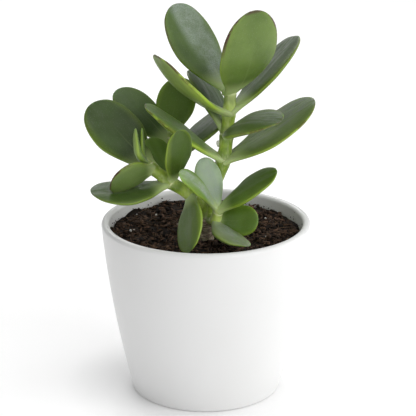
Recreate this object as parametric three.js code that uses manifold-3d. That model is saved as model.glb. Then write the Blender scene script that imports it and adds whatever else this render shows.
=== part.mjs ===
// A jade plant in a round glazed pot: the pot, its soil, one branching stem and its leaves.
// Millimetres, +Z up. The origin is on the pot's axis, at the surface that the pot stands on.
import * as THREE from 'three';
import { mergeVertices } from 'three/addons/utils/BufferGeometryUtils.js';
import Module from 'manifold-3d';

const wasm = await Module();
wasm.setup();

// ---- driving dimensions ----
const potDiameter = 140;
const potHeight = 118;
const potFootDiameter = 100;
const potSideBulge = 2.5;
const potWall = 5.2;
const potFloor = 7;
const potFootEdge = 2;
const potInnerCorner = 8;

const soilDrop = 9.5;
const soilUnevenness = 0.9;

const leafThickness = 5.2;
const plumpness = 0.32; // thickness of a small blade, as a share of its width
const petioleShare = 0.2; // of the blade's width
const widestPlace = 0.6; // of the blade's length, from the base

const trunkAside = 0.5; // from the pot's axis to the trunk's foot, along X
const frontRoom = 48.93; // from the trunk's foot to the front of the wall, at the soil's level
const rootDepth = 22;
const nodeSwelling = 0.16; // of the stem's radius
const nodeReach = 3.5;

const clearance = 0.3; // between neighbouring pieces

// ---- fineness ----
const potSegments = 60;
const soilSegments = 40;
const wallSteps = 6;
const roundSteps = 4;
const stemSides = 10;
const stemStep = 4;
const leafSides = 10;
const leafRings = 12;

const soilLevel = potHeight - soilDrop;
const trunkFoot = [trunkAside, frontRoom - innerRadius(soilLevel), soilLevel];

// The stem's axes, from the foot of the trunk at soil level. Each entry is [x, y, z, radius],
// and the named points are where leaves and other axes grow.
const axes = {
  trunk: {
    root: [0, 0, -rootDepth, 5],
    foot: [0, 0, 0, 4.3],
    lowFork: [0.3, 0, 16, 3.9],
    leftFork: [0.6, 0.2, 23, 4.1],
    bend: [4, 1, 36, 4.2],
    first: [11, 2.5, 54.5, 4.1],
    second: [13, 4.5, 71, 3.9],
    third: [14.5, 6.5, 85, 3.7],
    crown: [15.3, 8, 99, 3.3],
  },
  leftBranch: {
    leftFork: [0.6, 0.2, 23, 3.6],
    drooping: [-11, -6, 34.5, 3.8],
    fork: [-24, -9, 43.5, 3.7],
    outer: [-34.5, -9, 52, 3.1],
    leftTip: [-39, -8, 56, 2.4],
  },
  rearTwig: {
    fork: [-24, -9, 43.5, 3.3],
    rearMiddle: [-24, 13, 50.5, 3],
    rearUpper: [-25, 25, 58, 2.7],
    rearTip: [-24.5, 30, 63, 2.3],
  },
  frontShoot: {
    lowFork: [0.3, 0, 16, 3],
    frontLow: [5.5, -11, 17.5, 3],
    frontTip: [7.5, -13, 25, 2.6],
  },
};

// Leaves by the node they grow from, as [name, heading, rise, roll, length, width, sag, sweep].
// Heading is the compass angle from +X, rise the slope above level and roll the turn about the
// leaf's own length, in degrees. Sag drops the middle of the blade, and sweep bends it leftwards.
const leaves = {
  crown: [
    ['crown_back', 152, 52, -19, 68, 37, 3, 1.5],
    ['crown_front', -70, 58, 11, 73, 41, 9.5, -0.5],
  ],
  third: [
    ['third_right', 29, 42, -11, 69, 38, 1.5, -1],
    ['third_left', 206, 41, 3, 68, 37, 6, 1],
  ],
  second: [
    ['second_back', 120, 37, 26, 56, 28, -2.5, 1.5],
    ['second_front', -49, 22, 27, 56, 29, -6, -6],
  ],
  first: [
    ['first_right', -4, 35, 15, 72, 40, 2, -1.5],
    ['first_left', 185, 37, -1, 64, 35, 1, 1],
  ],
  fork: [
    ['fork_front', -75, 62, 30, 46, 22, 4, 1],
    ['fork_back', 129, 48, -20, 33, 17, 1, -2],
    ['fork_low', 199, -2, -12, 53, 29, 3.5, 2],
  ],
  outer: [
    ['outer_back', 140, 35.5, -22, 63, 32, 2.5, 3.5],
    ['outer_front', 215, -8, -115, 34, 21, -2, -3.5],
  ],
  leftTip: [
    ['tip_outer', 200, 74, 0, 25, 12, 4.5, 5.5],
    ['tip_inner', 5, 96, -9, 23.5, 9.5, -1.3, 0],
  ],
  drooping: [
    ['drooping', -89, -37, 52, 45, 25, 0, 1],
  ],
  rearMiddle: [
    ['rear_right', 31, 33, -10, 60, 33, 0.5, 0],
  ],
  rearUpper: [
    ['rear_left', 160, 43, -26, 51, 27, -0.5, -0.5],
  ],
  rearTip: [
    ['rear_back', 65, 59, 20, 41, 26, 2, 1.5],
  ],
  frontTip: [
    ['shoot_back', 145, 70, -28, 36, 19, 1, 0],
    ['shoot_left', 226, 43.5, -62, 49.5, 13, 0.8, -3.5],
    ['shoot_right', -10, 37, 18, 48, 27, 0, 0.5],
  ],
  frontLow: [
    ['shoot_low_right', -20, 8, 68, 30, 20, 1, -0.5],
    ['shoot_low_front', -51, -15, -11, 34, 20, 1.5, -4.5],
  ],
};

// ---- materials ----
const glaze = new THREE.MeshStandardMaterial({ color: 0xf1f0ec, roughness: 0.3, metalness: 0 });
const earth = new THREE.MeshStandardMaterial({ color: 0x33261f, roughness: 1, metalness: 0 });
const bark = new THREE.MeshStandardMaterial({ color: 0x93a765, roughness: 0.6, metalness: 0 });
const foliage = new THREE.MeshStandardMaterial({ color: 0x5d7d4a, roughness: 0.4, metalness: 0 });

// ---- joining and cutting ----
function toSolid(geometry) {
  const bare = geometry.clone();
  bare.deleteAttribute('normal');
  bare.deleteAttribute('uv');
  const merged = mergeVertices(bare);
  const vertProperties = new Float32Array(merged.attributes.position.array);
  const triVerts = new Uint32Array(merged.index.array);
  return new wasm.Manifold(new wasm.Mesh({ numProp: 3, vertProperties, triVerts }));
}

function toMesh(name, solid, material) {
  const { vertProperties, triVerts } = solid.getMesh();
  const geometry = new THREE.BufferGeometry();
  geometry.setAttribute('position', new THREE.BufferAttribute(vertProperties, 3));
  geometry.setIndex(new THREE.BufferAttribute(triVerts, 1));
  geometry.computeVertexNormals();
  const mesh = new THREE.Mesh(geometry, material);
  mesh.name = name;
  return mesh;
}

function moveVertices(geometry, place) {
  const position = geometry.attributes.position;
  const point = new THREE.Vector3();
  for (let i = 0; i < position.count; i += 1) {
    point.fromBufferAttribute(position, i);
    place(point);
    position.setXYZ(i, point.x, point.y, point.z);
  }
  return geometry;
}

function arc(centreX, centreY, radius, from, to, steps) {
  const points = [];
  for (let i = 0; i <= steps; i += 1) {
    const angle = THREE.MathUtils.degToRad(THREE.MathUtils.lerp(from, to, i / steps));
    const x = centreX + radius * Math.cos(angle);
    points.push(new THREE.Vector2(x, centreY + radius * Math.sin(angle)));
  }
  return points;
}

// ---- pot ----
function outerRadius(z) {
  const up = z / potHeight;
  const cone = THREE.MathUtils.lerp(potFootDiameter, potDiameter, up) / 2;
  return cone + potSideBulge * 4 * up * (1 - up);
}

function innerRadius(z) {
  return outerRadius(z) - potWall;
}

function wall(from, to, radiusAt) {
  const points = [];
  for (let i = 0; i <= wallSteps; i += 1) {
    const z = THREE.MathUtils.lerp(from, to, i / wallSteps);
    points.push(new THREE.Vector2(radiusAt(z), z));
  }
  return points;
}

// The pot's hollow from the middle of its floor up to a level, kept a gap inside its surface.
function hollow(level, gap) {
  const radiusAt = (z) => innerRadius(z) - gap;
  const corner = potFloor + potInnerCorner;
  const centre = innerRadius(corner) - potInnerCorner;
  const bend = arc(centre, corner, potInnerCorner - gap, -90, -15, roundSteps);
  return [new THREE.Vector2(0, potFloor + gap), ...bend, ...wall(corner, level, radiusAt)];
}

function lathe(points, segments) {
  return new THREE.LatheGeometry(points, segments).rotateX(Math.PI / 2);
}

function makePot() {
  const rimRadius = potWall / 2;
  const rimLevel = potHeight - rimRadius;
  const points = [
    new THREE.Vector2(0, 0),
    ...arc(outerRadius(potFootEdge) - potFootEdge, potFootEdge, potFootEdge, -90, -15, roundSteps),
    ...wall(potFootEdge, rimLevel, outerRadius),
    ...arc(outerRadius(rimLevel) - rimRadius, rimLevel, rimRadius, 15, 165, roundSteps),
    ...hollow(rimLevel, 0).reverse(),
  ];
  return toSolid(lathe(points, potSegments));
}

// ---- soil ----
function makeSoil(stemHole) {
  const side = hollow(soilLevel, clearance);
  const edge = side.at(-1).x;
  const top = [0.94, 0.8, 0.62, 0.42, 0.2, 0].map((share) => new THREE.Vector2(edge * share, soilLevel));
  const body = lathe([...side, ...top], soilSegments);
  moveVertices(body, (point) => {
    if (point.z > soilLevel - 0.01) {
      const waves = Math.sin(point.x / 6) * Math.cos(point.y / 7) + Math.sin((point.x + 2 * point.y) / 11);
      point.z += (soilUnevenness * waves) / 2;
    }
  });
  return toSolid(body).subtract(stemHole);
}

// ---- stem ----
const nodePlaces = Object.values(axes).flatMap((joints) => Object.keys(joints)
  .filter((name) => name in leaves)
  .map((name) => new THREE.Vector3(...joints[name])));

function swelling(place) {
  const distance = Math.min(...nodePlaces.map((node) => node.distanceTo(place)));
  return 1 + nodeSwelling * Math.exp(-((distance / nodeReach) ** 2));
}

// One axis of the stem: a round-ended rod bent along the curve through its joints.
function makeAxis(joints, extra) {
  const places = Object.values(joints);
  const curve = new THREE.CatmullRomCurve3(places.map((joint) => new THREE.Vector3(...joint)));
  const steps = Math.ceil(curve.getLength() / stemStep);
  const rod = new THREE.CapsuleGeometry(1, steps, 3, stemSides, steps);
  const up = new THREE.Vector3(0, 1, 0);
  const turn = new THREE.Quaternion();
  moveVertices(rod, (point) => {
    const along = THREE.MathUtils.clamp(point.y / steps + 0.5, 0, 1);
    const joint = Math.min(Math.floor(along * (places.length - 1)), places.length - 2);
    const past = along * (places.length - 1) - joint;
    const centre = curve.getPoint(along);
    const plain = THREE.MathUtils.lerp(places[joint][3], places[joint + 1][3], past);
    point.y -= (along - 0.5) * steps;
    point.multiplyScalar(plain * swelling(centre) + extra);
    turn.setFromUnitVectors(up, curve.getTangent(along));
    point.applyQuaternion(turn).add(centre);
  });
  return toSolid(rod);
}

function makeStem(extra) {
  return Object.values(axes).map((joints) => makeAxis(joints, extra)).reduce((sum, axis) => sum.add(axis));
}

// ---- leaves ----
function bladeWidth(t, width) {
  const rising = Math.sin((Math.PI / 2) * Math.min(t / widestPlace, 1)) ** 1.7;
  const pastWidest = Math.max(t - widestPlace, 0) / (1 - widestPlace);
  const rounding = Math.sqrt(Math.max(1 - pastWidest ** 2.4, 0));
  return width * THREE.MathUtils.lerp(petioleShare, 1, rising) * rounding;
}

function bladeThickness(t, width) {
  const thickest = Math.min(leafThickness, plumpness * width);
  return thickest * (0.8 + 0.2 * Math.sin(Math.PI * Math.min(t / 0.9, 1))) * Math.sqrt(1 - t ** 5);
}

// A fleshy blade along +X from its base at the origin, with its upper face towards +Z.
function makeLeaf(base, [, heading, rise, roll, length, width, sag, sweep], extra) {
  const blade = new THREE.SphereGeometry(1, leafSides, leafRings).rotateZ(Math.PI / 2);
  const toRadians = THREE.MathUtils.degToRad;
  const attitude = new THREE.Euler(toRadians(roll), -toRadians(rise), toRadians(heading), 'ZYX');
  moveVertices(blade, (point) => {
    const t = THREE.MathUtils.clamp((point.x + 1) / 2, 0, 1);
    const round = Math.max(Math.hypot(point.y, point.z), 1e-6);
    const bow = 4 * t * (1 - t);
    const ends = Math.min(1, round * 1e5);
    const across = (point.y / round) * (bladeWidth(t, width) / 2 + extra) * ends;
    const through = (point.z / round) * (bladeThickness(t, width) / 2 + extra) * ends;
    point.set(t * length + (2 * t - 1) * extra, across + sweep * bow, through - sag * bow);
    point.applyEuler(attitude).add(base);
  });
  return toSolid(blade);
}

function makeLeaves(stemSpace) {
  const meshes = [];
  const taken = [stemSpace];
  for (const [node, grown] of Object.entries(leaves)) {
    const joints = Object.values(axes).find((axis) => node in axis);
    const base = new THREE.Vector3(...joints[node]);
    for (const leaf of grown) {
      const blade = taken.reduce((left, other) => left.subtract(other), makeLeaf(base, leaf, 0));
      meshes.push(toMesh(`leaf_${leaf[0]}`, blade, foliage));
      taken.push(makeLeaf(base, leaf, clearance));
    }
  }
  return meshes;
}

// ---- assembly ----
const stemSpace = makeStem(clearance);
const plant = new THREE.Group();
plant.position.set(...trunkFoot);
plant.add(toMesh('stem', makeStem(0), bark));
plant.add(...makeLeaves(stemSpace));

const pottedPlant = new THREE.Group();
pottedPlant.add(toMesh('pot', makePot(), glaze));
pottedPlant.add(toMesh('soil', makeSoil(stemSpace.translate(trunkFoot)), earth));
pottedPlant.add(plant);

export default pottedPlant;
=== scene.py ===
import math
import random
import bmesh
import bpy
import numpy as np
from mathutils import Matrix, Vector, noise


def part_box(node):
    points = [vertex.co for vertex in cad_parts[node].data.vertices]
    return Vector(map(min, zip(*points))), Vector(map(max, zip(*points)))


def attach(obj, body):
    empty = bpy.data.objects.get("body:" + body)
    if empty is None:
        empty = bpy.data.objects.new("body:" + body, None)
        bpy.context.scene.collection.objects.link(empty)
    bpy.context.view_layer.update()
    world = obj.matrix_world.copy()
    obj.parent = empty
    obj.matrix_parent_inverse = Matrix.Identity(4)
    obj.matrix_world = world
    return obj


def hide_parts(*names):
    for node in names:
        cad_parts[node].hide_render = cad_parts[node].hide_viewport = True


# A jade plant in a round glazed pot, in metres, standing on the plain floor at z = 0.
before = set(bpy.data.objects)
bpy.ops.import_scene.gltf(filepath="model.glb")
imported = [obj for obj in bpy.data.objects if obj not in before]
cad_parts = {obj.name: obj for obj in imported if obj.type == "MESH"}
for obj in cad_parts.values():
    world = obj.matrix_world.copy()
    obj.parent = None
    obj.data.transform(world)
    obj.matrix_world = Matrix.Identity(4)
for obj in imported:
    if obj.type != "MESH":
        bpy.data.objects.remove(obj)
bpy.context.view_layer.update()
scene = bpy.context.scene
scene.view_settings.view_transform = "Standard"
mergeReach = 1e-6  # points closer than this are one
print("frame loaded:", len(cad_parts), "nodes")


camera = {
    "target": Vector((0.00135, 0, 0.126)),
    "distance": 1.2,
    "down": math.radians(18.56),  # it looks down on the plant
    "lens": 155.86,
    "sensor": 36,
    "farthest": 50,
}


def makeCamera():
    data = bpy.data.cameras.new("camera")
    data.lens = camera["lens"]
    data.sensor_width = camera["sensor"]
    data.clip_end = camera["farthest"]
    lens = bpy.data.objects.new("camera", data)
    down = camera["down"]
    back = Vector((0, -math.cos(down), math.sin(down)))
    lens.location = camera["target"] + back * camera["distance"]
    lens.rotation_euler = (math.pi / 2 - down, 0, 0)
    scene.collection.objects.link(lens)
    scene.camera = lens


studio = {
    "sky": (1.0, 1.0, 1.0),
    "skyStrength": 0.41,
    "floorColour": (0.93, 0.93, 0.93),
    "floorRoughness": 0.9,
    "floorSpecular": 0.1,
    "floorGlow": 0.22,
    "paintedShadowCore": 0.040,  # painted contact shadow: the floor's own light fades out towards the pot's foot
    "paintedShadowEnds": 0.098,
    "floorSize": 9.0,
    # name: (where it stands, its width, its power)
    "lights": {
        "window": ((1.00, -1.12, 0.85), 2.0, 16),
        "above": ((0.40, -0.10, 1.60), 1.0, 4),
        "side": ((1.38, 0.48, 0.48), 1.0, 6),
        "back": ((-0.35, 1.25, 1.25), 1.0, 8),
    },
}


def makeLights():
    world = bpy.data.worlds.new("studio")
    world.use_nodes = True
    background = world.node_tree.nodes["Background"]
    background.inputs["Color"].default_value = (*studio["sky"], 1)
    background.inputs["Strength"].default_value = studio["skyStrength"]
    scene.world = world
    aim = camera["target"]
    for name, (place, width, power) in studio["lights"].items():
        data = bpy.data.lights.new(name, "AREA")
        data.shape = "DISK"
        data.size = width
        data.energy = power
        light = bpy.data.objects.new(name, data)
        light.location = place
        light.rotation_euler = (aim - Vector(place)).to_track_quat("-Z", "Y").to_euler()
        scene.collection.objects.link(light)


def makeFloor():
    bm = bmesh.new()
    bmesh.ops.create_grid(bm, x_segments=1, y_segments=1, size=studio["floorSize"] / 2)
    mesh = bpy.data.meshes.new("floor")
    bm.to_mesh(mesh)
    bm.free()
    floor = bpy.data.objects.new("floor", mesh)
    material, tree, skin = newMaterial("floorPaper")
    skin.inputs["Base Color"].default_value = (*studio["floorColour"], 1)
    skin.inputs["Roughness"].default_value = studio["floorRoughness"]
    skin.inputs["Specular IOR Level"].default_value = studio["floorSpecular"]
    skin.inputs["Emission Color"].default_value = (1, 1, 1, 1)
    reach = tree.nodes.new("ShaderNodeVectorMath")
    reach.operation = "LENGTH"
    tree.links.new(objectPlace(tree), reach.inputs[0])
    away = reach.outputs["Value"]
    # painted contact shadow: the floor's glow is dimmed near the pot's foot
    outsidePaintedShadow = ranged(tree, away, studio["paintedShadowCore"], studio["paintedShadowEnds"], smooth=False)
    glow = product(tree, outsidePaintedShadow, studio["floorGlow"])
    tree.links.new(glow, skin.inputs["Emission Strength"])
    mesh.materials.append(material)
    scene.collection.objects.link(floor)


def newMaterial(name):
    material = bpy.data.materials.new(name)
    material.use_nodes = True
    return material, material.node_tree, material.node_tree.nodes["Principled BSDF"]


def feed(tree, socket, value):
    # a socket gets either another node's output or a plain value
    if isinstance(value, bpy.types.NodeSocket):
        tree.links.new(value, socket)
    elif isinstance(value, tuple) and len(value) == 3 and socket.type == "RGBA":
        socket.default_value = (*value, 1)
    else:
        socket.default_value = value


def objectPlace(tree):
    return tree.nodes.new("ShaderNodeTexCoord").outputs["Object"]


def stretched(tree, place, scale):
    mapping = tree.nodes.new("ShaderNodeMapping")
    mapping.inputs["Scale"].default_value = scale
    tree.links.new(place, mapping.inputs["Vector"])
    return mapping.outputs["Vector"]


def cloudy(tree, place, scale, detail=4.0, rough=0.55):
    cloud = tree.nodes.new("ShaderNodeTexNoise")
    cloud.inputs["Scale"].default_value = scale
    cloud.inputs["Detail"].default_value = detail
    cloud.inputs["Roughness"].default_value = rough
    tree.links.new(place, cloud.inputs["Vector"])
    return cloud.outputs["Fac"]


def cells(tree, place, scale, feature="F1", output="Distance"):
    voronoi = tree.nodes.new("ShaderNodeTexVoronoi")
    voronoi.feature = feature
    voronoi.inputs["Scale"].default_value = scale
    tree.links.new(place, voronoi.inputs["Vector"])
    return voronoi.outputs[output]


def ranged(tree, value, low, high, lowOut=0.0, highOut=1.0, smooth=True):
    spread = tree.nodes.new("ShaderNodeMapRange")
    spread.interpolation_type = "SMOOTHSTEP" if smooth else "LINEAR"
    feed(tree, spread.inputs["Value"], value)
    spread.inputs["From Min"].default_value = low
    spread.inputs["From Max"].default_value = high
    spread.inputs["To Min"].default_value = lowOut
    spread.inputs["To Max"].default_value = highOut
    return spread.outputs["Result"]


def sums(tree, kind, first, second=0.0, clamp=False):
    step = tree.nodes.new("ShaderNodeMath")
    step.operation = kind
    step.use_clamp = clamp
    feed(tree, step.inputs[0], first)
    feed(tree, step.inputs[1], second)
    return step.outputs[0]


def product(tree, first, second, clamp=False):
    return sums(tree, "MULTIPLY", first, second, clamp)


def blended(tree, amount, first, second, kind="MIX"):
    mix = tree.nodes.new("ShaderNodeMix")
    mix.data_type = "RGBA"
    mix.blend_type = kind
    feed(tree, mix.inputs[0], amount)
    feed(tree, mix.inputs[6], first)
    feed(tree, mix.inputs[7], second)
    return mix.outputs[2]


def raised(tree, skin, height, strength, distance, under=None):
    bump = tree.nodes.new("ShaderNodeBump")
    bump.inputs["Strength"].default_value = strength
    bump.inputs["Distance"].default_value = distance
    tree.links.new(height, bump.inputs["Height"])
    if under is not None:
        tree.links.new(under, bump.inputs["Normal"])
    tree.links.new(bump.outputs["Normal"], skin.inputs["Normal"])
    return bump.outputs["Normal"]


def painted(tree, name):
    # the red, green, blue and alpha of a colour attribute
    attribute = tree.nodes.new("ShaderNodeAttribute")
    attribute.attribute_name = name
    split = tree.nodes.new("ShaderNodeSeparateColor")
    tree.links.new(attribute.outputs["Color"], split.inputs["Color"])
    return split.outputs["Red"], split.outputs["Green"], split.outputs["Blue"], attribute.outputs["Alpha"]


def finishPiece(bm, name, material, nodeNames=()):
    mesh = bpy.data.meshes.new(name)
    bm.to_mesh(mesh)
    bm.free()
    mesh.shade_smooth()
    mesh.materials.append(material)
    piece = bpy.data.objects.new(name, mesh)
    scene.collection.objects.link(piece)
    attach(piece, "root")
    if nodeNames:
        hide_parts(*nodeNames)
    return piece


def nodePoints(name):
    return np.array([vertex.co[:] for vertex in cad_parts[name].data.vertices])


def smoothStep(low, high, value):
    share = min(max((value - low) / (high - low), 0.0), 1.0)
    return share * share * (3 - 2 * share)


blade = {
    "widestPlace": 0.6,
    "petioleShare": 0.2,
    "slimness": 1.7,  # higher keeps the petiole slim for longer
    "tipRoundness": 2.4,
    "plumpness": 1.05,
    "hiddenBase": 0.0042,  # from the stem's axis to where the CAD leaf starts
    "reachIn": 0.0024,  # how far the visible base runs into the stem
    "flare": 0.22,  # how much wider the base is where it clasps the stem
    "flareReach": 0.004,
    "bluntness": 0.8,  # lower is a squarer edge
    "waver": 0.018,  # how unevenly the edge runs, as a share of the half width
    "opening": (0.1, 0.5),  # from the first place to the second the blade opens out
    "groove": 0.00045,
    "grooveWidth": 0.0012,
    "trough": 0.075,  # how far the edges stand up, as a share of the half width
    "ripple": 0.0007,
    "sides": 40,
    "rings": 44,
}

leafGreens = {
    "deep": (0.02, 0.055, 0.005),
    "dark": (0.06, 0.11, 0.025),
    "grassy": (0.07, 0.145, 0.01),
    "middle": (0.09, 0.15, 0.03),
    "light": (0.12, 0.18, 0.055),
    "fresh": (0.15, 0.255, 0.05),
    "young": (0.21, 0.31, 0.10),
    "waxy": (0.17, 0.215, 0.12),
    "frosted": (0.28, 0.38, 0.25),
}

# How each leaf differs: its green, glow for a painted sunlit yellow edge and painted shade on its upper
# face, red for a burnt margin, ribs for the dry ribbing of an older leaf, bloom for its grey waxy bloom with
# a painted sheen, and lean for where across the blade, from 0 to 1, that grey band of bloom and painted
# sheen has its middle.
habits = {
    "crown_back": {"green": "dark", "glow": 0.15, "red": 0.6, "ribs": 0.05, "bloomAndSheen": 0.75, "lean": 0.36},
    "crown_front": {"green": "middle", "glow": 0.25, "red": 1.0, "ribs": 0.1, "bloomAndSheen": 0.0, "lean": 0.5},
    "third_right": {"green": "deep", "glow": 0.3, "red": 0.2, "ribs": 1.0, "bloomAndSheen": 0.3, "lean": 0.66},
    "third_left": {"green": "light", "glow": 1.0, "red": 0.9, "ribs": 0.3, "bloomAndSheen": 0.2, "lean": 0.5},
    "second_back": {"green": "deep", "glow": 0.15, "red": 0.1, "ribs": 0.5, "bloomAndSheen": 0.2, "lean": 0.5},
    "second_front": {"green": "dark", "glow": 0.3, "red": 0.7, "ribs": 0.8, "bloomAndSheen": 0.3, "lean": 0.62},
    "first_right": {"green": "light", "glow": 0.5, "red": 0.6, "ribs": 1.0, "bloomAndSheen": 0.45, "lean": 0.68},
    "first_left": {"green": "fresh", "glow": 1.0, "red": 0.7, "ribs": 0.2, "bloomAndSheen": 0.2, "lean": 0.5},
    "rear_right": {"green": "dark", "glow": 0.15, "red": 0.1, "ribs": 1.0, "bloomAndSheen": 0.4, "lean": 0.66},
    "rear_left": {"green": "dark", "glow": 0.1, "red": 0.0, "ribs": 0.06, "bloomAndSheen": 0.05, "lean": 0.5},
    "rear_back": {"green": "grassy", "glow": 0.5, "red": 0.0, "ribs": 0.0, "bloomAndSheen": 0.0, "lean": 0.5},
    "outer_back": {"green": "deep", "glow": 0.3, "red": 0.15, "ribs": 0.03, "bloomAndSheen": 0.0, "lean": 0.5},
    "outer_front": {"green": "light", "glow": 0.3, "red": 1.0, "ribs": 0.4, "bloomAndSheen": 0.25, "lean": 0.3},
    "tip_outer": {"green": "young", "glow": 0.4, "red": 0.0, "ribs": 0.3, "bloomAndSheen": 0.3, "lean": 0.5},
    "tip_inner": {"green": "young", "glow": 0.5, "red": 0.0, "ribs": 0.0, "bloomAndSheen": 0.1, "lean": 0.5},
    "fork_back": {"green": "fresh", "glow": 0.35, "red": 0.0, "ribs": 0.0, "bloomAndSheen": 0.0, "lean": 0.5},
    "fork_front": {"green": "deep", "glow": 0.5, "red": 0.0, "ribs": 0.0, "bloomAndSheen": 0.2, "lean": 0.7},
    "fork_low": {"green": "dark", "glow": 0.2, "red": 0.2, "ribs": 0.6, "bloomAndSheen": 0.5, "lean": 0.3},
    "drooping": {"green": "middle", "glow": 0.45, "red": 0.0, "ribs": 0.1, "bloomAndSheen": 0.25, "lean": 0.35},
    "shoot_back": {"green": "frosted", "glow": 0.1, "red": 0.0, "ribs": 0.0, "bloomAndSheen": 0.8, "lean": 0.5},
    "shoot_left": {"green": "fresh", "glow": 0.3, "red": 0.0, "ribs": 0.0, "bloomAndSheen": 1.0, "lean": 0.5},
    "shoot_right": {"green": "grassy", "glow": 0.35, "red": 0.0, "ribs": 0.2, "bloomAndSheen": 0.1, "lean": 0.7},
    "shoot_low_right": {"green": "grassy", "glow": 0.45, "red": 0.0, "ribs": 0.0, "bloomAndSheen": 0.1, "lean": 0.5},
    "shoot_low_front": {"green": "waxy", "glow": 0.3, "red": 0.0, "ribs": 0.2, "bloomAndSheen": 0.6, "lean": 0.5},
}


def readLeaf(points, stemPoints):
    # the frame's leaf as a centre line, an across line and a face line, with its size
    middle = points.mean(axis=0)
    axes = np.linalg.eigh(np.cov((points - middle).T))[1]
    along, across, face = axes[:, 2], axes[:, 1], axes[:, 0]
    ends = points[[np.argmin((points - middle) @ along), np.argmax((points - middle) @ along)]]
    near = [np.linalg.norm(stemPoints - end, axis=1).min() for end in ends]
    if near[1] < near[0]:
        along = -along
    if face[2] < 0:
        face = -face
    across = np.cross(face, along)
    x, y, z = ((points - middle) @ axis for axis in (along, across, face))
    bend = np.polyfit(x, y, 2)
    arch = np.polyfit(x, z, 2)
    length = x.max() - x.min() + blade["hiddenBase"]
    return {
        "middle": middle,
        "axes": np.array((along, across, face)),
        "tip": x.max(),
        "length": length,
        "start": (blade["hiddenBase"] - blade["reachIn"]) / length,
        "width": 2 * np.abs(y - np.polyval(bend, x)).max(),
        "thickness": 2 * blade["plumpness"] * np.abs(z - np.polyval(arch, x)).max(),
        "bend": bend,
        "arch": arch,
    }


def bladeWidth(t):
    rising = math.sin(math.pi / 2 * min(t / blade["widestPlace"], 1)) ** blade["slimness"]
    pastWidest = max(t - blade["widestPlace"], 0) / (1 - blade["widestPlace"])
    share = blade["petioleShare"]
    return (share + (1 - share) * rising) * math.sqrt(max(1 - pastWidest ** blade["tipRoundness"], 0))


def bladeThickness(t):
    return (0.8 + 0.2 * math.sin(math.pi * min(t / 0.9, 1))) * math.sqrt(max(1 - t**5, 0))


def blunted(share):
    return math.copysign(abs(share) ** blade["bluntness"], share)


def bladePoint(leaf, seed, t, side, up, pole):
    # side and up run round the section from -1 to 1, and pole is 0 where an end closes
    fromBase = (t - leaf["start"]) * leaf["length"]
    flare = 1 + blade["flare"] * math.exp(-((fromBase / blade["flareReach"]) ** 2))
    halfWidth = leaf["width"] / 2 * bladeWidth(t) * flare * pole
    halfThick = leaf["thickness"] / 2 * bladeThickness(t) * flare * pole
    wave = noise.noise(seed + Vector((t * 4, side * 0.8, 0)))
    over = blunted(side) * halfWidth * (1 + blade["waver"] * wave)
    sideways = over / (leaf["width"] / 2)
    opened = smoothStep(*blade["opening"], t)
    groove = blade["groove"] * math.exp(-((over / blade["grooveWidth"]) ** 2))
    through = blunted(up) * halfThick
    through += blade["trough"] * abs(over) * abs(sideways) * opened
    through -= groove * smoothStep(-0.2, 0.6, up) * opened
    through += blade["ripple"] * noise.noise(seed + Vector((t * 3, sideways * 2, 5))) * opened
    along = leaf["tip"] - (1 - t) * leaf["length"]
    across = np.polyval(leaf["bend"], along) + over
    outOf = np.polyval(leaf["arch"], along) + through
    return leaf["middle"] + np.array((along, across, outOf)) @ leaf["axes"], sideways


def makeLeaf(name, stemPoints, material):
    leaf = readLeaf(nodePoints("leaf_" + name), stemPoints)
    habit = habits[name]
    seed = Vector((len(name) * 3.7, ord(name[0]), ord(name[-1])))
    bm = bmesh.new()
    bladeLayer = bm.verts.layers.float_color.new("blade")
    colourLayer = bm.verts.layers.float_color.new("colour")
    habitLayer = bm.verts.layers.float_color.new("habit")
    bmesh.ops.create_uvsphere(bm, u_segments=blade["sides"], v_segments=blade["rings"], radius=1)
    for vertex in bm.verts:
        x, y, z = vertex.co
        t = leaf["start"] + (1 - leaf["start"]) * (1 - z) / 2
        angle = math.atan2(y, x)
        side, up = math.cos(angle), math.sin(angle)
        pole = 1.0 if abs(z) < 0.9999 else 0.0
        vertex.co, sideways = bladePoint(leaf, seed, t, side, up, pole)
        vertex[bladeLayer] = (t, 0.5 + 0.5 * sideways, 0.5 + 0.5 * up * pole, abs(side))
        vertex[colourLayer] = (*leafGreens[habit["green"]], habit["bloomAndSheen"])
        vertex[habitLayer] = (habit["ribs"], habit["glow"], habit["red"], habit["lean"])
    bmesh.ops.recalc_face_normals(bm, faces=bm.faces)
    return finishPiece(bm, "leaf" + name.title().replace("_", ""), material, ["leaf_" + name])


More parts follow.
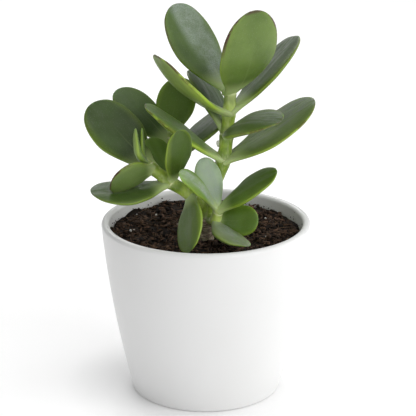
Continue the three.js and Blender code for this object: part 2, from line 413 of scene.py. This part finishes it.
leafColours = {
    "petiole": (0.500, 0.620, 0.260),
    "sunlit": (0.330, 0.460, 0.045),
    "burnt": (0.060, 0.016, 0.012),
    "pore": (0.330, 0.390, 0.290),
    # the grey of the waxy bloom and of a painted sheen
    "bloomAndSheen": (0.330, 0.390, 0.340),
    # pale ridges of dry ribbing with painted sheen, and painted shade in the furrows between them
    "rib": (0.180, 0.205, 0.165),
    "furrowShade": (0.022, 0.036, 0.018),
}
leafFinish = {
    "deeper": (0.62, 0.68, 0.55),  # the leaf's own green is multiplied by these
    "brighter": (1.35, 1.28, 1.3),
    "shadowed": (0.42, 0.55, 0.55),
    "broadScale": 30,
    "mottleScale": 90,
    "midribHalfWidth": 0.024,
    "midribShows": 0.14,
    "softMargin": (0.6, 0.95),
    "sharpMargin": (0.93, 0.985),
    # painted glow over the whole blade
    "glowInside": 0.22,
    "petioleFades": (0.09, 0.34),
    "burntEdge": (0.88, 0.97),
    "burntFrom": (0.5, 0.85),
    "burntTip": (0.972, 0.992),
    "poreScale": 900,
    "bloomAndSheenScale": 45,
    "bloomAndSheenGrain": 1500,
    "bloomAndSheenBand": (0.16, 0.36),
    "ribStretch": (6.0, 1.8, 1.5),
    "ribScale": 2.2,
    "ribHeight": 0.0009,
    "fineScale": 700,
    "fineHeight": 0.0004,
    "roughness": (0.40, 0.54),
    "specular": 0.34,
    "flesh": 0.18,
    "fleshRadius": (0.35, 1.0, 0.12),
    "fleshDepth": 0.004,
    "coat": 0.05,
    "coatRoughness": 0.3,
}


def leafFlesh(tree, place, own, mottle):
    deeper = blended(tree, 1.0, own, leafFinish["deeper"], "MULTIPLY")
    brighter = blended(tree, 1.0, own, leafFinish["brighter"], "MULTIPLY")
    broad = cloudy(tree, place, leafFinish["broadScale"], 2, 0.5)
    colour = blended(tree, ranged(tree, broad, 0.25, 0.75), deeper, brighter)
    return blended(tree, ranged(tree, mottle, 0.4, 0.75, 0, 0.5), colour, deeper)


def paleMidrib(tree, colour, along, across):
    # a faint line that fades towards the tip
    offMiddle = sums(tree, "ABSOLUTE", sums(tree, "SUBTRACT", across, 0.5))
    line = ranged(tree, offMiddle, 0.0, leafFinish["midribHalfWidth"], 1, 0)
    fading = ranged(tree, along, 0.15, 0.75, leafFinish["midribShows"], 0)
    return blended(tree, product(tree, line, fading), colour, leafColours["petiole"])


def sunlitMargin(tree, colour, own, face, edge, glow):
    # painted light: the fleshy margin is painted a sunlit yellow as though light came through it, and the
    # upper face is painted in shade
    shadowed = blended(tree, 1.0, own, leafFinish["shadowed"], "MULTIPLY")
    paintedShadeOnFace = product(tree, ranged(tree, face, 0.53, 0.64), ranged(tree, glow, 0.35, 0.8))
    colour = blended(tree, paintedShadeOnFace, colour, shadowed)
    soft = product(tree, ranged(tree, edge, *leafFinish["softMargin"]), 0.35)
    # painted light along the margin
    margin = sums(tree, "MAXIMUM", soft, ranged(tree, edge, *leafFinish["sharpMargin"]))
    lit = product(tree, margin, sums(tree, "ADD", product(tree, glow, 0.95), 0.15), True)
    colour = blended(tree, lit, colour, leafColours["sunlit"])
    # painted glow: the whole blade is tinted towards the sunlit yellow
    return blended(tree, product(tree, glow, leafFinish["glowInside"]), colour, leafColours["sunlit"])


def burntLine(tree, place, colour, along, edge, red):
    # it is thin, broken, and runs along the edge near the tip
    patchy = ranged(tree, cloudy(tree, place, 160, 3, 0.6), 0.36, 0.56, 0.15, 1)
    nearTip = ranged(tree, along, *leafFinish["burntFrom"])
    line = product(tree, ranged(tree, edge, *leafFinish["burntEdge"]), nearTip)
    line = product(tree, product(tree, line, patchy), red, True)
    tip = product(tree, ranged(tree, along, *leafFinish["burntTip"]), red)
    burnt = sums(tree, "MAXIMUM", line, product(tree, tip, 0.8))
    return blended(tree, burnt, colour, leafColours["burnt"])


def waxyBloomAndSheen(tree, place, colour, sheenBand, amount):
    # pale pores, and a thin waxy bloom with a painted sheen along one band of the upper face
    pores = ranged(tree, cells(tree, place, leafFinish["poreScale"]), 0.08, 0.28, 0.16, 0)
    colour = blended(tree, pores, colour, leafColours["pore"])
    patches = ranged(tree, cloudy(tree, place, leafFinish["bloomAndSheenScale"], 4, 0.65), 0.35, 0.65, 0.15, 1)
    grain = ranged(tree, cloudy(tree, place, leafFinish["bloomAndSheenGrain"], 2, 0.6), 0.35, 0.65, 0.5, 1)
    bloomAndSheen = product(tree, product(tree, product(tree, patches, grain), amount), sheenBand)
    return blended(tree, bloomAndSheen, colour, leafColours["bloomAndSheen"])


def dryRibbing(tree, along, across, face):
    # long cells, for the ribs that run the length of an older blade
    stretch = tree.nodes.new("ShaderNodeCombineXYZ")
    for index, axis in enumerate((across, along, face)):
        feed(tree, stretch.inputs[index], product(tree, axis, leafFinish["ribStretch"][index]))
    return cloudy(tree, stretch.outputs[0], leafFinish["ribScale"], 4, 0.68)


def ribsAndFurrows(tree, colour, ribbing, ribs, sheenBand):
    # pale ridges of dry ribbing with painted sheen, and painted shade in the furrows between them
    ridgeAndSheen = product(tree, ranged(tree, ribbing, 0.45, 0.62), ribs)
    ridgeAndSheen = product(tree, ridgeAndSheen, product(tree, sheenBand, 0.85))
    colour = blended(tree, ridgeAndSheen, colour, leafColours["rib"])
    furrowShade = product(tree, ranged(tree, ribbing, 0.3, 0.45, 1, 0), product(tree, ribs, sheenBand))
    return blended(tree, product(tree, furrowShade, 0.6), colour, leafColours["furrowShade"])


def makeLeafSkin():
    material, tree, skin = newMaterial("leafSkin")
    place = objectPlace(tree)
    along, across, face, edge = painted(tree, "blade")
    ribs, glow, red, lean = painted(tree, "habit")
    attribute = tree.nodes.new("ShaderNodeAttribute")
    attribute.attribute_name = "colour"
    own, bloomAndSheen = attribute.outputs["Color"], attribute.outputs["Alpha"]
    # the band of the upper face that carries the bloom and the painted sheen
    offSheenBand = sums(tree, "ABSOLUTE", sums(tree, "SUBTRACT", across, lean))
    sheenAcross = ranged(tree, offSheenBand, *leafFinish["bloomAndSheenBand"], 1, 0)
    sheenBand = product(tree, sheenAcross, ranged(tree, face, 0.5, 0.8))
    mottle = cloudy(tree, place, leafFinish["mottleScale"], 5, 0.6)
    ribbing = dryRibbing(tree, along, across, face)
    colour = leafFlesh(tree, place, own, mottle)
    colour = paleMidrib(tree, colour, along, across)
    colour = sunlitMargin(tree, colour, own, face, edge, glow)
    petiole = ranged(tree, along, *leafFinish["petioleFades"], 0.95, 0)
    colour = blended(tree, petiole, colour, leafColours["petiole"])
    colour = burntLine(tree, place, colour, along, edge, red)
    colour = waxyBloomAndSheen(tree, place, colour, sheenBand, bloomAndSheen)
    colour = ribsAndFurrows(tree, colour, ribbing, ribs, sheenBand)
    tree.links.new(colour, skin.inputs["Base Color"])
    tree.links.new(ranged(tree, mottle, 0.3, 0.7, *leafFinish["roughness"]), skin.inputs["Roughness"])
    skin.inputs["Specular IOR Level"].default_value = leafFinish["specular"]
    skin.inputs["Subsurface Weight"].default_value = leafFinish["flesh"]
    skin.inputs["Subsurface Radius"].default_value = leafFinish["fleshRadius"]
    skin.inputs["Subsurface Scale"].default_value = leafFinish["fleshDepth"]
    skin.inputs["Coat Weight"].default_value = leafFinish["coat"]
    skin.inputs["Coat Roughness"].default_value = leafFinish["coatRoughness"]
    ribHeight = product(tree, product(tree, ribbing, sheenBand), sums(tree, "ADD", ribs, 0.12))
    first = raised(tree, skin, ribHeight, 0.5, leafFinish["ribHeight"])
    fine = cloudy(tree, place, leafFinish["fineScale"], 3, 0.6)
    raised(tree, skin, fine, 0.16, leafFinish["fineHeight"], first)
    return material


stemLook = {
    "cell": 0.0007,
    "rounding": 8,
    "regrown": 0.0005,  # what the rounding took off
    "collar": 0.0009,
    "collarReach": 0.0032,
    "scarBelow": 0.0022,  # from a node's middle down to its pale ring
    "scarWidth": 0.0005,
    "scarDepth": 0.00022,
    "barkTop": 0.132,
    "barkFade": 0.012,
    "barkRadius": 0.0075,
    "knobScale": 260,
    "knobHeight": 0.00045,
    "barkRings": 1900,  # turns of the wave up the trunk, in radians a metre
    "barkRingHeight": 0.00022,
    "nodeReach": 0.009,  # leaves that start this close grow from one node
    "sliceHalf": 0.004,
    "paleFrom": (0.19, 0.225),  # heights between which the young top turns pale
    "flesh": 0.12,
    "fleshRadius": (0.4, 1.0, 0.15),
    "fleshDepth": 0.003,
    "ringHeight": 0.0012,
    "streakHeight": 0.0004,
}
stemColours = {
    "shaded": (0.150, 0.250, 0.022),
    "fresh": (0.400, 0.540, 0.070),
    "pale": (0.760, 0.800, 0.460),
    "bark": (0.200, 0.155, 0.100),
    "barkPale": (0.640, 0.540, 0.400),
}


def makeStemSkin():
    material, tree, skin = newMaterial("stemSkin")
    place = objectPlace(tree)
    bark, collar, scar = painted(tree, "grown")[:3]
    streaks = cloudy(tree, stretched(tree, place, (1, 1, 0.25)), 420, 4, 0.6)
    broad = cloudy(tree, place, 110, 3, 0.5)
    green = blended(tree, ranged(tree, broad, 0.3, 0.7), stemColours["shaded"], stemColours["fresh"])
    green = blended(tree, ranged(tree, streaks, 0.45, 0.75, 0, 0.35), green, stemColours["pale"])
    green = blended(tree, product(tree, collar, 0.35), green, stemColours["pale"])
    green = blended(tree, scar, green, stemColours["pale"])
    height = tree.nodes.new("ShaderNodeSeparateXYZ")
    tree.links.new(place, height.inputs[0])
    young = ranged(tree, height.outputs[2], *stemLook["paleFrom"], 0, 0.7)
    green = blended(tree, young, green, stemColours["pale"])
    rings = cloudy(tree, stretched(tree, place, (1, 1, 5)), 260, 4, 0.65)
    corky = blended(tree, ranged(tree, rings, 0.4, 0.65), stemColours["bark"], stemColours["barkPale"])
    ragged = sums(tree, "ADD", bark, ranged(tree, broad, 0.2, 0.8, -0.3, 0.3))
    patch = ranged(tree, ragged, 0.35, 0.75)
    tree.links.new(blended(tree, patch, green, corky), skin.inputs["Base Color"])
    tree.links.new(ranged(tree, patch, 0, 1, 0.42, 0.85), skin.inputs["Roughness"])
    skin.inputs["Subsurface Weight"].default_value = stemLook["flesh"]
    skin.inputs["Subsurface Radius"].default_value = stemLook["fleshRadius"]
    skin.inputs["Subsurface Scale"].default_value = stemLook["fleshDepth"]
    first = raised(tree, skin, product(tree, rings, patch), 0.7, stemLook["ringHeight"])
    raised(tree, skin, streaks, 0.2, stemLook["streakHeight"], first)
    return material


def roundedStem():
    # the CAD stem as one closed skin, with its joints rounded over
    bm = bmesh.new()
    bm.from_mesh(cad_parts["stem"].data)
    bmesh.ops.remove_doubles(bm, verts=bm.verts, dist=mergeReach)
    mesh = bpy.data.meshes.new("stemShape")
    bm.to_mesh(mesh)
    bm.free()
    rough = bpy.data.objects.new("stemShape", mesh)
    scene.collection.objects.link(rough)
    remesh = rough.modifiers.new("cells", "REMESH")
    remesh.mode = "VOXEL"
    remesh.voxel_size = stemLook["cell"]
    rounding = rough.modifiers.new("rounding", "SMOOTH")
    rounding.factor = 0.5
    rounding.iterations = stemLook["rounding"]
    shaped = rough.evaluated_get(bpy.context.evaluated_depsgraph_get())
    bm = bmesh.new()
    bm.from_mesh(shaped.to_mesh())
    shaped.to_mesh_clear()
    bpy.data.objects.remove(rough)
    bm.normal_update()
    return bm


def barkAt(place, foot):
    # cork covers the trunk's low part, and no side shoot
    low = 1 - smoothStep(stemLook["barkTop"] - stemLook["barkFade"], stemLook["barkTop"], place.z)
    aside = math.hypot(place.x - foot.x, place.y - foot.y)
    return low * (1 - smoothStep(stemLook["barkRadius"] * 0.75, stemLook["barkRadius"], aside))


def scarAt(place, nodes):
    scar = 0.0
    for centre, along in nodes:
        if (place - centre).length < stemLook["nodeReach"]:
            below = (place - centre).dot(along) + stemLook["scarBelow"]
            scar = max(scar, math.exp(-((below / stemLook["scarWidth"]) ** 2)))
    return scar


def makeStem(leafBases, material):
    bm = roundedStem()
    layer = bm.verts.layers.float_color.new("grown")
    foot = trunkFoot()
    nodes = nodeCentres(leafBases)
    for vertex in bm.verts:
        place = vertex.co
        near = min((place - base).length for base in leafBases)
        collar = math.exp(-((near / stemLook["collarReach"]) ** 2))
        bark = barkAt(place, foot)
        scar = scarAt(place, nodes)
        vertex[layer] = (bark, collar, scar, 1)
        knobs = noise.noise(place * stemLook["knobScale"]) * stemLook["knobHeight"]
        knobs += stemLook["barkRingHeight"] * math.sin(place.z * stemLook["barkRings"])
        swell = stemLook["collar"] * collar - stemLook["scarDepth"] * scar + stemLook["regrown"]
        vertex.co = place + vertex.normal * (swell + bark * knobs)
    bmesh.ops.recalc_face_normals(bm, faces=bm.faces)
    return finishPiece(bm, "stem", material, ["stem"])


driedBud = {
    "halfSize": (0.0012, 0.0008, 0.0023),
    "hook": 0.0006,
    "crumple": 0.35,
    "standsOff": 0.0007,
    "grainScale": 1200,
    "grey": (0.50, 0.53, 0.42),
    "pale": (0.80, 0.81, 0.72),
    "roughness": 0.7,
}


def makeDriedBud(leafBases, material):
    # a papery scale left on the trunk between the first two pairs of leaves
    names = list(habits)
    lower = (leafBases[names.index("first_left")] + leafBases[names.index("first_right")]) / 2
    upper = (leafBases[names.index("second_back")] + leafBases[names.index("second_front")]) / 2
    place = lower.lerp(upper, 0.5)
    points = nodePoints("stem")
    ring = points[np.linalg.norm(points - np.array(place), axis=1) < stemLook["nodeReach"]]
    level = ring[np.abs(ring[:, 2] - place.z) < stemLook["sliceHalf"]]
    place.x = float(level[:, 0].min()) - driedBud["standsOff"]
    wide, deep, tall = driedBud["halfSize"]
    bm = bmesh.new()
    bmesh.ops.create_uvsphere(bm, u_segments=16, v_segments=12, radius=1)
    for vertex in bm.verts:
        x, y, z = vertex.co
        waist = 1 + driedBud["crumple"] * noise.noise(vertex.co * 2.3)
        bent = tall * z + driedBud["hook"] * x * x
        vertex.co = place + Vector((wide * x * waist, deep * y * waist, bent))
    bmesh.ops.recalc_face_normals(bm, faces=bm.faces)
    finishPiece(bm, "driedBud", material)


def makeBudSkin():
    material, tree, skin = newMaterial("driedScale")
    grain = cloudy(tree, objectPlace(tree), driedBud["grainScale"], 3, 0.6)
    colour = blended(tree, ranged(tree, grain, 0.35, 0.65), driedBud["grey"], driedBud["pale"])
    tree.links.new(colour, skin.inputs["Base Color"])
    skin.inputs["Roughness"].default_value = driedBud["roughness"]
    return material


def nodeCentres(leafBases):
    # where a pair of leaves grows: its middle and the stem's direction there, upwards
    points = nodePoints("stem")
    groups = []
    for base in leafBases:
        for group in groups:
            if (sum(group, Vector()) / len(group) - base).length < stemLook["nodeReach"]:
                group.append(base)
                break
        else:
            groups.append([base])
    nodes = []
    for group in groups:
        centre = sum(group, Vector()) / len(group)
        near = points[np.linalg.norm(points - np.array(centre), axis=1) < 0.011]
        axes = np.linalg.eigh(np.cov((near - near.mean(axis=0)).T))[1]
        along = Vector(axes[:, 2])
        nodes.append((centre, along if along.z > 0 else -along))
    return nodes


def trunkFoot():
    # the middle of the stem where it leaves the soil
    points = nodePoints("stem")
    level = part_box("soil")[1].z
    ring = points[np.abs(points[:, 2] - level) < stemLook["sliceHalf"]]
    return Vector((float(ring[:, 0].mean()), float(ring[:, 1].mean()), level))


potShape = {
    "wall": 0.0052,
    "floor": 0.007,
    "footEdge": 0.002,
    "innerCorner": 0.008,
    "wallSteps": 14,
    "roundSteps": 8,
    "around": 128,
}
potColours = {
    "glaze": (0.762, 0.764, 0.762),
    "warm": (0.738, 0.738, 0.728),
    "dust": (0.180, 0.120, 0.085),
}
potFinish = {
    "cloudScale": 14,
    "dustHeight": 0.006,  # how far above the soil the dust clings
    "dustScale": 1400,
    "roughness": (0.30, 0.38),
    "specular": 0.45,
    "coat": 0.15,
    "coatRoughness": 0.25,
    "waveScale": 30,
    "waveHeight": 0.0012,
}


def arcPoints(centreX, centreZ, radius, start, end, steps):
    turns = [math.radians(start + (end - start) * step / steps) for step in range(steps + 1)]
    return [(centreX + radius * math.cos(turn), centreZ + radius * math.sin(turn)) for turn in turns]


def potProfile():
    # the outer side as a curve through the frame's pot, then the whole cut from it
    points = nodePoints("pot")
    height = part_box("pot")[1].z
    wall, foot = potShape["wall"], potShape["footEdge"]
    rim = wall / 2
    reach = np.hypot(points[:, 0], points[:, 1])
    ends = (foot, height - rim)
    widest = [reach[np.abs(points[:, 2] - level) < 2e-4].max() for level in ends]
    cone = np.interp(points[:, 2], ends, widest)
    between = (points[:, 2] > foot - 1e-5) & (points[:, 2] < height - rim + 1e-5)
    side = between & (reach > cone - 5e-4)
    outer = np.polyfit(points[side, 2], reach[side], 2)
    corner = potShape["floor"] + potShape["innerCorner"]
    steps = potShape["roundSteps"]
    climb = np.linspace(foot, height - rim, potShape["wallSteps"])
    outside = [(float(np.polyval(outer, z)), float(z)) for z in climb]
    fall = np.linspace(height - rim, corner, potShape["wallSteps"])
    inside = [(float(np.polyval(outer, z)) - wall, float(z)) for z in fall]
    profile = [(0.0, 0.0), *arcPoints(outside[0][0] - foot, foot, foot, -90, -15, steps), *outside]
    profile += arcPoints(outside[-1][0] - rim, height - rim, rim, 12, 168, steps) + inside
    innerEdge = inside[-1][0] - potShape["innerCorner"]
    profile += arcPoints(innerEdge, corner, potShape["innerCorner"], -15, -90, steps)
    return profile + [(0.0, potShape["floor"])], outer


def makePot(material):
    profile, outer = potProfile()
    bm = bmesh.new()
    layer = bm.verts.layers.float_color.new("side")
    verts = [bm.verts.new((radius, 0, z)) for radius, z in profile]
    edges = [bm.edges.new(pair) for pair in zip(verts, verts[1:])]
    bmesh.ops.spin(
        bm,
        geom=verts + edges,
        cent=(0, 0, 0),
        axis=(0, 0, 1),
        angle=math.tau,
        steps=potShape["around"],
        use_merge=True,
    )
    bmesh.ops.remove_doubles(bm, verts=bm.verts, dist=mergeReach)
    bmesh.ops.recalc_face_normals(bm, faces=bm.faces)
    for vertex in bm.verts:
        depth = float(np.polyval(outer, vertex.co.z)) - math.hypot(vertex.co.x, vertex.co.y)
        inner = depth > potShape["wall"] * 0.8 and vertex.co.z > potShape["floor"] * 0.9
        vertex[layer] = (1.0 if inner else 0.0, 0, 0, 1)
    finishPiece(bm, "pot", material, ["pot"])
    return outer


def makeGlaze(soilLevel):
    material, tree, skin = newMaterial("potGlaze")
    place = objectPlace(tree)
    broad = cloudy(tree, place, potFinish["cloudScale"], 3, 0.5)
    warmth = ranged(tree, broad, 0.3, 0.7, 0, 0.6)
    colour = blended(tree, warmth, potColours["glaze"], potColours["warm"])
    # a little soil dust clings to the inner wall just above the soil
    split = tree.nodes.new("ShaderNodeSeparateXYZ")
    tree.links.new(place, split.inputs[0])
    inside = painted(tree, "side")[0]
    low = ranged(tree, split.outputs[2], soilLevel, soilLevel + potFinish["dustHeight"], 1, 0)
    grains = ranged(tree, cloudy(tree, place, potFinish["dustScale"], 4, 0.7), 0.56, 0.66)
    dust = product(tree, product(tree, inside, low), grains)
    colour = blended(tree, product(tree, dust, 0.8), colour, potColours["dust"])
    tree.links.new(colour, skin.inputs["Base Color"])
    tree.links.new(ranged(tree, broad, 0.3, 0.7, *potFinish["roughness"]), skin.inputs["Roughness"])
    skin.inputs["Specular IOR Level"].default_value = potFinish["specular"]
    skin.inputs["Coat Weight"].default_value = potFinish["coat"]
    skin.inputs["Coat Roughness"].default_value = potFinish["coatRoughness"]
    waves = cloudy(tree, place, potFinish["waveScale"], 2, 0.5)
    raised(tree, skin, waves, 0.12, potFinish["waveHeight"])
    return material


soilLook = {
    "seed": 7,
    "around": 72,
    "cuts": 5,
    "taper": 0.78,  # the hidden underside, as a share of the top's radius
    "underside": 0.004,
    "lumpHeight": 0.0034,
    "heapHeight": 0.0020,
    "heapFrom": (0.042, 0.064),
    "clearOfTrunk": 0.0042,
    "clods": 150,
    "clodSize": (0.0035, 0.0065),
    "crumbs": 1500,
    "crumbSizes": (0.0012, 0.0016, 0.002, 0.0026, 0.0034),
    "chips": 520,
    "chipSize": (0.0022, 0.0052),
    "fibres": 620,
    "fibreLength": (0.003, 0.0085),
    "fibreWidth": 0.0004,
    "fibreThickness": 0.0003,
    "grit": 18,
    "gritSize": (0.0006, 0.0019),
    "strays": 70,
    "straySize": (0.0005, 0.0013),
    "strayClimb": 0.0065,  # how far up the wall a stray crumb sits at most
}
soilColours = {
    "black": (0.0070, 0.0050, 0.0036),
    "brown": (0.044, 0.0290, 0.0210),
    "rust": (0.165, 0.095, 0.060),
    "straw": (0.230, 0.150, 0.090),
    "perlite": (0.80, 0.79, 0.76),
    "perlitePitShade": (0.35, 0.33, 0.30),
}


def soilHeight(x, y, level):
    lumps = 0.8 * noise.noise(Vector((x, y, 0)) * 60) + 0.45 * noise.noise(Vector((x, y, 3)) * 150)
    # it is heaped against the wall, most of all at the back left
    reach = math.hypot(x, y)
    backLeft = max(0.0, (0.85 * y - 0.5 * x) / max(reach, 1e-6))
    heap = smoothStep(*soilLook["heapFrom"], reach) * backLeft**2
    return level + soilLook["lumpHeight"] * lumps + soilLook["heapHeight"] * heap


def makeSoil(level, radius, material):
    bm = bmesh.new()
    layer = bm.verts.layers.float_color.new("grain")
    bmesh.ops.create_circle(
        bm, cap_ends=True, cap_tris=True, segments=soilLook["around"], radius=radius
    )
    bmesh.ops.subdivide_edges(bm, edges=bm.edges, cuts=soilLook["cuts"], use_grid_fill=True)
    for vertex in bm.verts:
        vertex.co.z = soilHeight(vertex.co.x, vertex.co.y, level)
        vertex[layer] = (0.25, 0.3, 0, 1)
    rim = [edge for edge in bm.edges if edge.is_boundary]
    skirt = bmesh.ops.extrude_edge_only(bm, edges=rim)["geom"]
    lower = [item for item in skirt if isinstance(item, bmesh.types.BMVert)]
    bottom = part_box("soil")[0].z + soilLook["underside"]
    for vertex in lower:
        vertex.co = Vector((vertex.co.x * soilLook["taper"], vertex.co.y * soilLook["taper"], bottom))
    bmesh.ops.contextual_create(bm, geom=[edge for edge in bm.edges if edge.is_boundary])
    bmesh.ops.recalc_face_normals(bm, faces=bm.faces)
    finishPiece(bm, "soil", material, ["soil"])


def addCrumb(bm, place, size, stretch, turn, colour, finer=1):
    layer = bm.verts.layers.float_color["grain"]
    made = bmesh.ops.create_icosphere(bm, subdivisions=finer, radius=0.5)["verts"]
    shape = Matrix.Translation(place) @ turn.to_matrix().to_4x4() @ Matrix.Diagonal((*stretch, 1))
    for vertex in made:
        vertex.co *= size * (1 + 0.45 * noise.noise(vertex.co * 3 + place * 900))
        vertex.co = shape @ vertex.co
        vertex[layer] = colour


def randomTurn(rng):
    return Vector((rng.uniform(-1, 1), rng.uniform(-1, 1), rng.uniform(-1, 1))).to_track_quat("Z", "Y")


def flatTurn(rng, tilt):
    across = Vector((rng.uniform(-tilt, tilt), rng.uniform(-tilt, tilt), 1))
    spun = Matrix.Rotation(rng.uniform(0, math.tau), 3, "Z").to_quaternion()
    return across.to_track_quat("Z", "Y") @ spun


def soilSpot(rng, radius, foot):
    # anywhere on the soil but under the trunk
    while True:
        angle = rng.uniform(0, math.tau)
        reach = radius * math.sqrt(rng.uniform(0, 1))
        x, y = reach * math.cos(angle), reach * math.sin(angle)
        if math.hypot(x - foot.x, y - foot.y) > soilLook["clearOfTrunk"]:
            return x, y


def startGrains():
    bm = bmesh.new()
    bm.verts.layers.float_color.new("grain")
    return bm


# A grain's colour attribute is its tone from black to rust, its tint, how dry it is, and 1.
def addClods(bm, rng, level, radius, foot):
    for _ in range(soilLook["clods"]):
        x, y = soilSpot(rng, radius - 0.003, foot)
        size = rng.uniform(*soilLook["clodSize"])
        place = Vector((x, y, soilHeight(x, y, level) - size * 0.08))
        stretch = (rng.uniform(0.9, 1.3), rng.uniform(0.7, 1.0), rng.uniform(0.45, 0.7))
        colour = (rng.uniform(0.0, 0.55), rng.uniform(0, 0.8), 0, 1)
        addCrumb(bm, place, size, stretch, flatTurn(rng, 0.6), colour, 2)


def addCrumbs(bm, rng, level, radius, foot):
    for _ in range(soilLook["crumbs"]):
        x, y = soilSpot(rng, radius - 0.001, foot)
        size = rng.choice(soilLook["crumbSizes"]) * rng.uniform(0.8, 1.25)
        z = soilHeight(x, y, level) + size * rng.uniform(-0.05, 0.42)
        stretch = (rng.uniform(0.8, 1.3), rng.uniform(0.7, 1.1), rng.uniform(0.5, 0.9))
        colour = (rng.uniform(0.05, 0.75), rng.uniform(0, 1), 0, 1)
        addCrumb(bm, Vector((x, y, z)), size, stretch, randomTurn(rng), colour)


def addChips(bm, rng, level, radius, foot):
    for _ in range(soilLook["chips"]):
        x, y = soilSpot(rng, radius - 0.003, foot)
        size = rng.uniform(*soilLook["chipSize"])
        z = soilHeight(x, y, level) + rng.uniform(0.0006, 0.0018)
        stretch = (1.25, rng.uniform(0.35, 0.6), rng.uniform(0.12, 0.3))
        colour = (rng.uniform(0.45, 1.0), rng.uniform(0, 1), 0, 1)
        addCrumb(bm, Vector((x, y, z)), size, stretch, flatTurn(rng, 0.45), colour)


def addFibres(bm, rng, level, radius, foot):
    for _ in range(soilLook["fibres"]):
        x, y = soilSpot(rng, radius - 0.004, foot)
        size = rng.uniform(*soilLook["fibreLength"])
        z = soilHeight(x, y, level) + rng.uniform(0.001, 0.003)
        stretch = (1.0, soilLook["fibreWidth"] / size, soilLook["fibreThickness"] / size)
        colour = (rng.uniform(0.65, 1.0), rng.uniform(0.5, 1), 0.6 * rng.random() ** 2, 1)
        addCrumb(bm, Vector((x, y, z)), size, stretch, flatTurn(rng, 0.35), colour)


def addStrays(bm, rng, level, radius):
    for _ in range(soilLook["strays"]):
        angle = rng.uniform(0, math.tau)
        up = soilLook["strayClimb"] * rng.random() ** 2
        reach = radius + 0.0002 + 0.12 * up
        size = rng.uniform(*soilLook["straySize"])
        place = Vector((reach * math.cos(angle), reach * math.sin(angle), level + 0.001 + up))
        turn = randomTurn(rng)
        colour = (rng.uniform(0, 0.6), 0.4, 0, 1)
        addCrumb(bm, place, size, (1, 1, 0.8), turn, colour)


def makeLooseSoil(level, radius, foot, material):
    rng = random.Random(soilLook["seed"])
    bm = startGrains()
    addClods(bm, rng, level, radius, foot)
    addCrumbs(bm, rng, level, radius, foot)
    finishPiece(bm, "soilCrumbs", material)
    bm = startGrains()
    addChips(bm, rng, level, radius, foot)
    addFibres(bm, rng, level, radius, foot)
    finishPiece(bm, "soilBarkAndFibre", material)
    bm = startGrains()
    addStrays(bm, rng, level, radius)
    finishPiece(bm, "soilOnTheWall", material)


def makeGrit(level, radius, foot, material):
    rng = random.Random(soilLook["seed"] + 1)
    bm = startGrains()
    for _ in range(soilLook["grit"]):
        x, y = soilSpot(rng, radius - 0.004, foot)
        size = rng.uniform(*soilLook["gritSize"])
        z = soilHeight(x, y, level) + 0.0012 + size * 0.3
        addCrumb(bm, Vector((x, y, z)), size, (1, 0.9, 0.8), randomTurn(rng), (1, 1, 1, 1), 2)
    finishPiece(bm, "perlite", material)


def makeSoilSkin():
    material, tree, skin = newMaterial("pottingMix")
    place = objectPlace(tree)
    tone, tint, dry = painted(tree, "grain")[:3]
    fine = cloudy(tree, place, 900, 5, 0.7)
    shade = sums(tree, "ADD", tone, ranged(tree, fine, 0.3, 0.7, -0.25, 0.25), True)
    colour = blended(tree, ranged(tree, shade, 0.1, 0.6), soilColours["black"], soilColours["brown"])
    colour = blended(tree, ranged(tree, shade, 0.6, 1.0, 0, 0.8), colour, soilColours["rust"])
    colour = blended(tree, product(tree, dry, 0.8), colour, soilColours["straw"])
    colour = blended(tree, ranged(tree, tint, 0.6, 1, 0, 0.35), colour, soilColours["rust"])
    tree.links.new(colour, skin.inputs["Base Color"])
    tree.links.new(ranged(tree, fine, 0.3, 0.7, 0.75, 1.0), skin.inputs["Roughness"])
    skin.inputs["Specular IOR Level"].default_value = 0.12
    first = raised(tree, skin, cloudy(tree, place, 500, 5, 0.7), 0.8, 0.0008)
    raised(tree, skin, cells(tree, place, 1500), 0.4, 0.0004, first)
    return material


def makePerliteSkin():
    material, tree, skin = newMaterial("perliteWhite")
    pits = cloudy(tree, objectPlace(tree), 1500, 3, 0.6)
    # painted shade: the pits, low in the bump, are darker
    shade = ranged(tree, pits, 0.35, 0.6)
    colour = blended(tree, shade, soilColours["perlitePitShade"], soilColours["perlite"])
    tree.links.new(colour, skin.inputs["Base Color"])
    skin.inputs["Roughness"].default_value = 0.9
    raised(tree, skin, pits, 0.6, 0.0003)
    return material


plant = {
    "soilBelowTop": 0.0009,  # the crumbs stand this far above the soil's own surface
    "soilClearance": 0.0001,
    "baseSpread": 0.0015,  # how much of a leaf's end counts as its base
}
makeCamera()
makeLights()
makeFloor()
print("camera and studio set")

stemPoints = nodePoints("stem")
leafSkin = makeLeafSkin()
leafBases = []
for name in habits:
    makeLeaf(name, stemPoints, leafSkin)
    points = nodePoints("leaf_" + name)
    gaps = np.array([np.linalg.norm(stemPoints - point, axis=1).min() for point in points])
    leafBases.append(Vector(points[gaps < gaps.min() + plant["baseSpread"]].mean(axis=0)))
print("leaves grown:", len(leafBases))

makeStem(leafBases, makeStemSkin())
makeDriedBud(leafBases, makeBudSkin())
print("stem grown")

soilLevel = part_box("soil")[1].z - plant["soilBelowTop"]
outer = makePot(makeGlaze(soilLevel))
print("pot thrown")

soilRadius = float(np.polyval(outer, soilLevel)) - potShape["wall"] - plant["soilClearance"]
foot = trunkFoot()
soilSkin = makeSoilSkin()
makeSoil(soilLevel, soilRadius, soilSkin)
makeLooseSoil(soilLevel, soilRadius, foot, soilSkin)
makeGrit(soilLevel, soilRadius, foot, makePerliteSkin())
print("soil filled")
